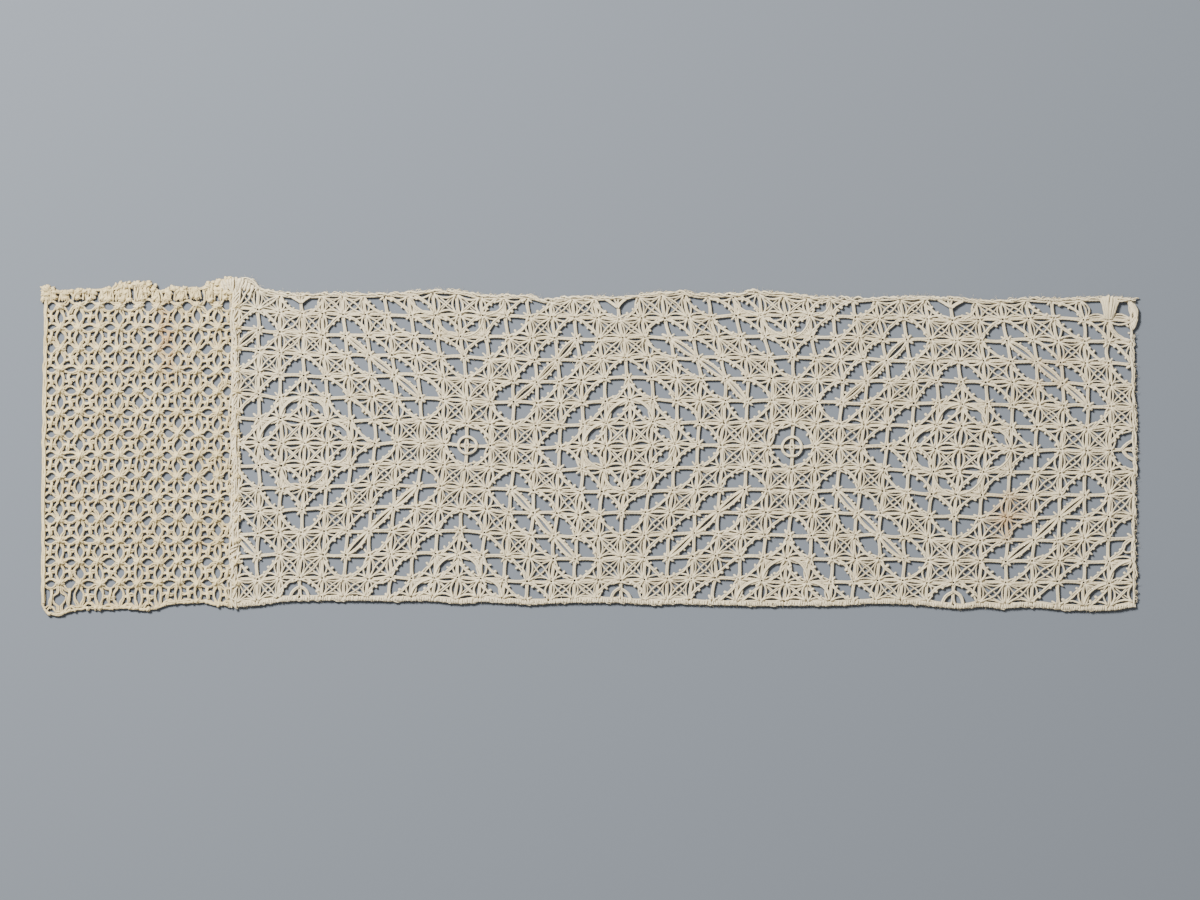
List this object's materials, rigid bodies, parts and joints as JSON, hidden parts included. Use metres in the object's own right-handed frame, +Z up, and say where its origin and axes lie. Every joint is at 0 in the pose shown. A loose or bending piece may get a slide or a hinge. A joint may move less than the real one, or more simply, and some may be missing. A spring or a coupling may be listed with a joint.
{
  "type": "bobbin lace piece",
  "caption": "Flat strip of linen bobbin lace in two lengths sewn edge to edge: a close net and a square lattice of diamonds, stars, rings and wheels.",
  "frame": {"origin": "middle of the lace's footprint, on the surface that it lies on", "axes": "+X along the length, from the net panel to the diamond panel's free end; +Y across the width, towards the corded upper edge; +Z up, off the surface"},
  "size_m": [0.35, 0.1082, 0.0019],
  "materials": {
    "creamy_linen": "matt linen thread, yellowed with age",
    "pale_linen": "matt linen thread, off-white"
  },
  "bodies": {
    "root": {"net_panel": "creamy_linen", "diamond_panel": "pale_linen"}
  },
  "joints": []
}
